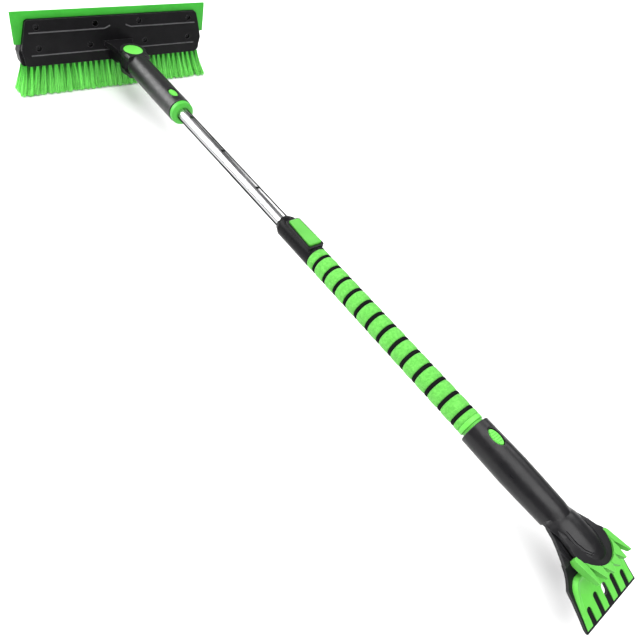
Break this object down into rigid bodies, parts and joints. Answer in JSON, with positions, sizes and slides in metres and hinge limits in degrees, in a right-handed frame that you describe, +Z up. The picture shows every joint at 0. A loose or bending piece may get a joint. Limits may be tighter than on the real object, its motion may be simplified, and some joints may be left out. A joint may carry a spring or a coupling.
{
  "type": "snow brush scraper",
  "caption": "Telescoping snow brush with a pivoting brush and squeegee head, sliding tube with lever lock, foam grip and snap-in ice scraper",
  "frame": {"origin": "centre of the box's underside, level with the bristle tips, with the tool extended and the head square", "axes": "+X runs along the handle toward the brush head, -X toward the scraper; +Z up, squeegee up and bristles down; +Y across the head"},
  "size_m": [1.213, 0.378, 0.145],
  "materials": {
    "black_plastic": "moulded, satin, fine grain",
    "green_plastic": "moulded, semi-gloss lime green",
    "bright_tube": "polished drawn aluminium tube, fine lengthwise lines",
    "alloy_tube": "drawn tube, plain",
    "foam": "closed-cell foam, matte lime green",
    "ring_rubber": "matte black rubber",
    "steel": "zinc-plated",
    "squeegee_rubber": "soft lime-green rubber, slight sheen",
    "bristle_green": "crimped nylon bristles",
    "bristle_black": "crimped nylon bristles"
  },
  "bodies": {
    "grip": {"outer_tube": "alloy_tube", "foam_grip": "foam", "grip_rings": "ring_rubber", "lock_housing": "black_plastic", "lever_pin": "steel", "lever_spring": "steel", "scraper_connector": "green_plastic"},
    "lever": {"lock_lever": "green_plastic", "lock_pin": "steel"},
    "slider": {"inner_tube": "bright_tube", "tube_bush": "black_plastic", "brush_connector": "green_plastic"},
    "front_snap": {"brush_snap": "green_plastic"},
    "neck": {"brush_stub": "black_plastic", "pivot_axle": "steel", "pivot_cap": "green_plastic", "pivot_spring": "steel"},
    "button": {"pivot_button": "green_plastic", "pivot_lock_ring": "steel"},
    "head": {"head_shell": "black_plastic", "back_shell": "black_plastic", "squeegee": "squeegee_rubber", "head_screws": "steel", "bristles_green": "bristle_green", "bristles_black": "bristle_black"},
    "rear_snap": {"scraper_snap": "green_plastic"},
    "scraper": {"scraper_body": "black_plastic", "scraper_cover": "green_plastic", "scraper_claws": "green_plastic"}
  },
  "joints": [
    {"name": "lever_press", "type": "hinge", "parent": "grip", "child": "lever", "pos_m": [-0.0205, 0, 0.0952], "axis": [0, -1, 0], "range_deg": [0, 7.5], "stiffness_Nm_per_rad": 0.6, "deforming": ["lever_spring"]},
    {"name": "tube_slide", "type": "slide", "parent": "grip", "child": "slider", "axis": [-1, 0, 0], "range_m": [0, 0.303], "deforming": ["lock_pin"]},
    {"name": "front_snap_press", "type": "hinge", "parent": "slider", "child": "front_snap", "pos_m": [0.3955, 0, 0.0933], "axis": [0, -1, 0], "range_deg": [0, 8.7], "stiffness_Nm_per_rad": 1.2},
    {"name": "brush_release", "type": "slide", "parent": "slider", "child": "neck", "axis": [1, 0, 0], "range_m": [0, 0.07], "deforming": ["brush_snap"]},
    {"name": "pivot_button_press", "type": "slide", "parent": "neck", "child": "button", "axis": [0, 0, -1], "range_m": [0, 0.003], "stiffness_N_per_m": 2500, "deforming": ["pivot_spring"]},
    {"name": "head_turn", "type": "hinge", "parent": "neck", "child": "head", "pos_m": [0.5195, 0, 0.08], "axis": [0, 0, 1], "range_deg": [-90, 90]},
    {"name": "rear_snap_press", "type": "hinge", "parent": "grip", "child": "rear_snap", "pos_m": [-0.4485, 0, 0.0933], "axis": [0, 1, 0], "range_deg": [0, 5.2], "stiffness_Nm_per_rad": 1.6},
    {"name": "scraper_release", "type": "slide", "parent": "grip", "child": "scraper", "axis": [-1, 0, 0], "range_m": [0, 0.08], "deforming": ["scraper_snap"]}
  ]
}
